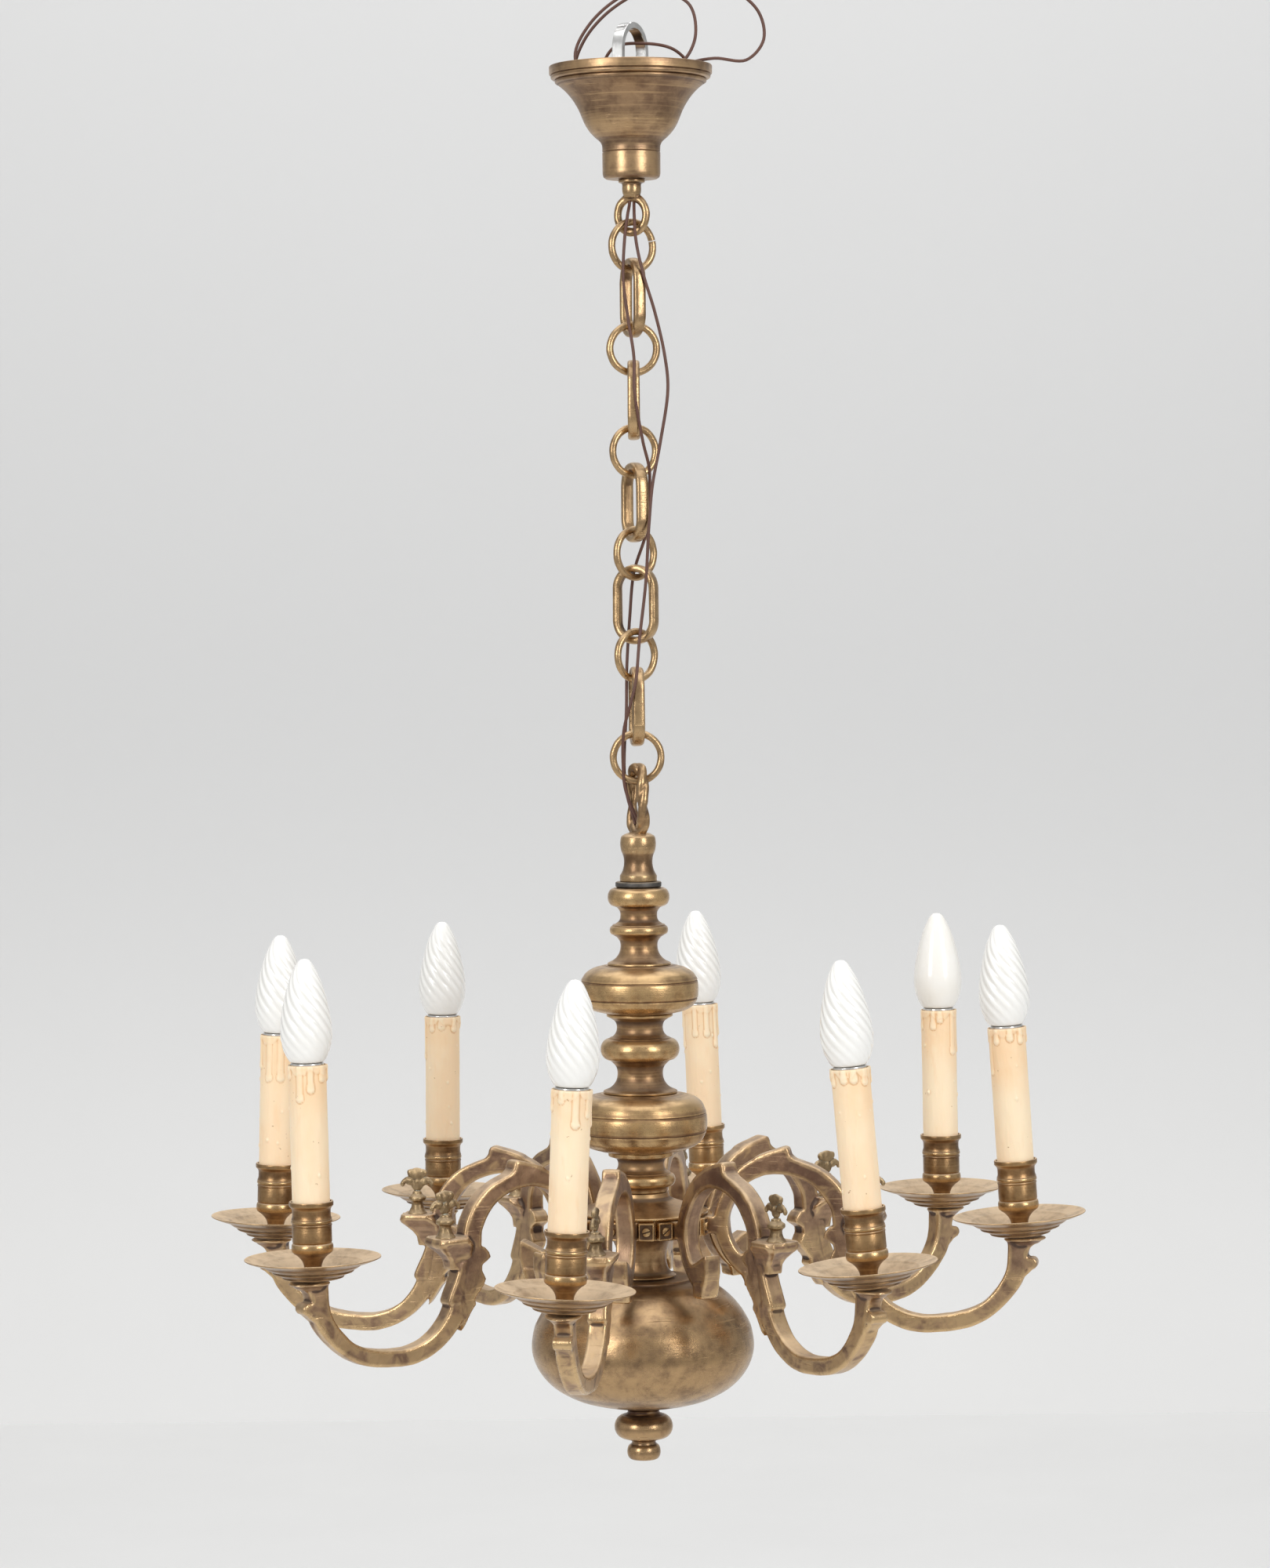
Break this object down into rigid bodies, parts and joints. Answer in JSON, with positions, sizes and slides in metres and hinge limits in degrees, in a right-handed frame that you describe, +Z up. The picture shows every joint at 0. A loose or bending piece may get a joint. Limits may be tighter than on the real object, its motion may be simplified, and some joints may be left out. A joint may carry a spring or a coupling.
{
  "type": "multi arm chandelier",
  "caption": "Brass chandelier on a link chain with a bell canopy: S-scroll arms round a turned column and ball, each with drip pan, cup, candle sleeve and candle bulb.",
  "frame": {"origin": "inside top of the steel hanging loop, where the ceiling hook holds it", "axes": "+Z up along the chain and column; -Y is the front"},
  "size_m": [0.6085, 0.6086, 1.0251],
  "materials": {
    "turned_brass": "aged brown patina with rubbed yellow highlights, fine turning marks",
    "cast_brass": "cast, brown patina with rubbed edges",
    "plated_steel": "dull zinc or nickel plating",
    "dark_iron": "blackened",
    "candle_sleeve": "cream peach with moulded wax drips",
    "opal_glass": "frosted opal, spiral fluted",
    "brown_flex": "smooth brown insulation",
    "terminal_plastic": "moulded"
  },
  "bodies": {
    "root": {"hanging_loop": "plated_steel", "canopy": "turned_brass", "canopy_link": "cast_brass", "terminal_block": "terminal_plastic", "flex_a": "brown_flex", "flex_b": "brown_flex"},
    "link_01": {"link_01": "cast_brass"},
    "link_02": {"link_02": "cast_brass"},
    "link_03": {"link_03": "cast_brass"},
    "link_04": {"link_04": "cast_brass"},
    "link_05": {"link_05": "cast_brass"},
    "link_06": {"link_06": "cast_brass"},
    "link_07": {"link_07": "cast_brass"},
    "link_08": {"link_08": "cast_brass"},
    "link_09": {"link_09": "cast_brass"},
    "link_10": {"link_10": "cast_brass"},
    "link_11": {"link_11": "cast_brass"},
    "chandelier": {"twisted_loop": "cast_brass", "iron_washer": "dark_iron", "upper_baluster": "turned_brass", "upper_disc": "turned_brass", "middle_baluster": "turned_brass", "lower_disc": "turned_brass", "lower_baluster": "turned_brass", "hub": "turned_brass", "ball": "turned_brass", "bottom_finial": "turned_brass", "centre_rod": "plated_steel", "arm_1": "cast_brass", "arm_2": "cast_brass", "arm_3": "cast_brass", "arm_4": "cast_brass", "arm_5": "cast_brass", "arm_6": "cast_brass", "arm_7": "cast_brass", "arm_8": "cast_brass", "candle_cup_1": "turned_brass", "candle_cup_2": "turned_brass", "candle_cup_3": "turned_brass", "candle_cup_4": "turned_brass", "candle_cup_5": "turned_brass", "candle_cup_6": "turned_brass", "candle_cup_7": "turned_brass", "candle_cup_8": "turned_brass", "sleeve_1": "candle_sleeve", "sleeve_2": "candle_sleeve", "sleeve_3": "candle_sleeve", "sleeve_4": "candle_sleeve", "sleeve_5": "candle_sleeve", "sleeve_6": "candle_sleeve", "sleeve_7": "candle_sleeve", "sleeve_8": "candle_sleeve"},
    "bulb_1": {"bulb_1": "opal_glass"},
    "bulb_2": {"bulb_2": "opal_glass"},
    "bulb_3": {"bulb_3": "opal_glass"},
    "bulb_4": {"bulb_4": "opal_glass"},
    "bulb_5": {"bulb_5": "opal_glass"},
    "bulb_6": {"bulb_6": "opal_glass"},
    "bulb_7": {"bulb_7": "opal_glass"},
    "bulb_8": {"bulb_8": "opal_glass"}
  },
  "joints": [
    {"name": "link_01_swing", "type": "hinge", "parent": "root", "child": "link_01", "pos_m": [0, 0, -0.139], "axis": [0.9397, -0.342, 0], "range_deg": [-3.5, 3.5], "deforming": ["flex_a", "flex_b"]},
    {"name": "link_02_swing", "type": "hinge", "parent": "link_01", "child": "link_02", "pos_m": [0, 0, -0.165], "axis": [0.848, 0.5299, 0], "range_deg": [-3.5, 3.5]},
    {"name": "link_03_swing", "type": "hinge", "parent": "link_02", "child": "link_03", "pos_m": [0, 0, -0.2093], "axis": [0.342, -0.9397, 0], "range_deg": [-3.5, 3.5]},
    {"name": "link_04_swing", "type": "hinge", "parent": "link_03", "child": "link_04", "pos_m": [0, 0, -0.2356], "axis": [0.9703, 0.2419, 0], "range_deg": [-3.5, 3.5]},
    {"name": "link_05_swing", "type": "hinge", "parent": "link_04", "child": "link_05", "pos_m": [0, 0, -0.2799], "axis": [0, 1, 0], "range_deg": [-3.5, 3.5]},
    {"name": "link_06_swing", "type": "hinge", "parent": "link_05", "child": "link_06", "pos_m": [0, 0, -0.3062], "axis": [0.891, 0.454, 0], "range_deg": [-3.5, 3.5]},
    {"name": "link_07_swing", "type": "hinge", "parent": "link_06", "child": "link_07", "pos_m": [0, 0, -0.3505], "axis": [0.3746, -0.9272, 0], "range_deg": [-3.5, 3.5]},
    {"name": "link_08_swing", "type": "hinge", "parent": "link_07", "child": "link_08", "pos_m": [0, 0, -0.3768], "axis": [0.766, 0.6428, 0], "range_deg": [-3.5, 3.5]},
    {"name": "link_09_swing", "type": "hinge", "parent": "link_08", "child": "link_09", "pos_m": [0, 0, -0.4211], "axis": [0.9063, -0.4226, 0], "range_deg": [-3.5, 3.5]},
    {"name": "link_10_swing", "type": "hinge", "parent": "link_09", "child": "link_10", "pos_m": [0, 0, -0.4474], "axis": [0.766, 0.6428, 0], "range_deg": [-3.5, 3.5]},
    {"name": "link_11_swing", "type": "hinge", "parent": "link_10", "child": "link_11", "pos_m": [0, 0, -0.4917], "axis": [0.1045, -0.9945, 0], "range_deg": [-3.5, 3.5]},
    {"name": "chandelier_swing", "type": "hinge", "parent": "link_11", "child": "chandelier", "pos_m": [0, 0, -0.518], "axis": [1, 0, 0], "range_deg": [-3.5, 3.5]},
    {"name": "bulb_1_lift", "type": "slide", "parent": "chandelier", "child": "bulb_1", "axis": [0.0436, 0, 0.999], "range_m": [0, 0.028]},
    {"name": "bulb_2_lift", "type": "slide", "parent": "chandelier", "child": "bulb_2", "axis": [-0.0157, 0, 0.9999], "range_m": [0, 0.028]},
    {"name": "bulb_3_lift", "type": "slide", "parent": "chandelier", "child": "bulb_3", "axis": [0.0297, 0, 0.9996], "range_m": [0, 0.028]},
    {"name": "bulb_4_lift", "type": "slide", "parent": "chandelier", "child": "bulb_4", "axis": [0.007, 0, 1], "range_m": [0, 0.028]},
    {"name": "bulb_5_lift", "type": "slide", "parent": "chandelier", "child": "bulb_5", "axis": [-0.0366, 0, 0.9993], "range_m": [0, 0.028]},
    {"name": "bulb_6_lift", "type": "slide", "parent": "chandelier", "child": "bulb_6", "axis": [-0.0122, 0, 0.9999], "range_m": [0, 0.028]},
    {"name": "bulb_7_lift", "type": "slide", "parent": "chandelier", "child": "bulb_7", "axis": [-0.061, 0, 0.9981], "range_m": [0, 0.028]},
    {"name": "bulb_8_lift", "type": "slide", "parent": "chandelier", "child": "bulb_8", "axis": [-0.0837, 0, 0.9965], "range_m": [0, 0.028]}
  ]
}
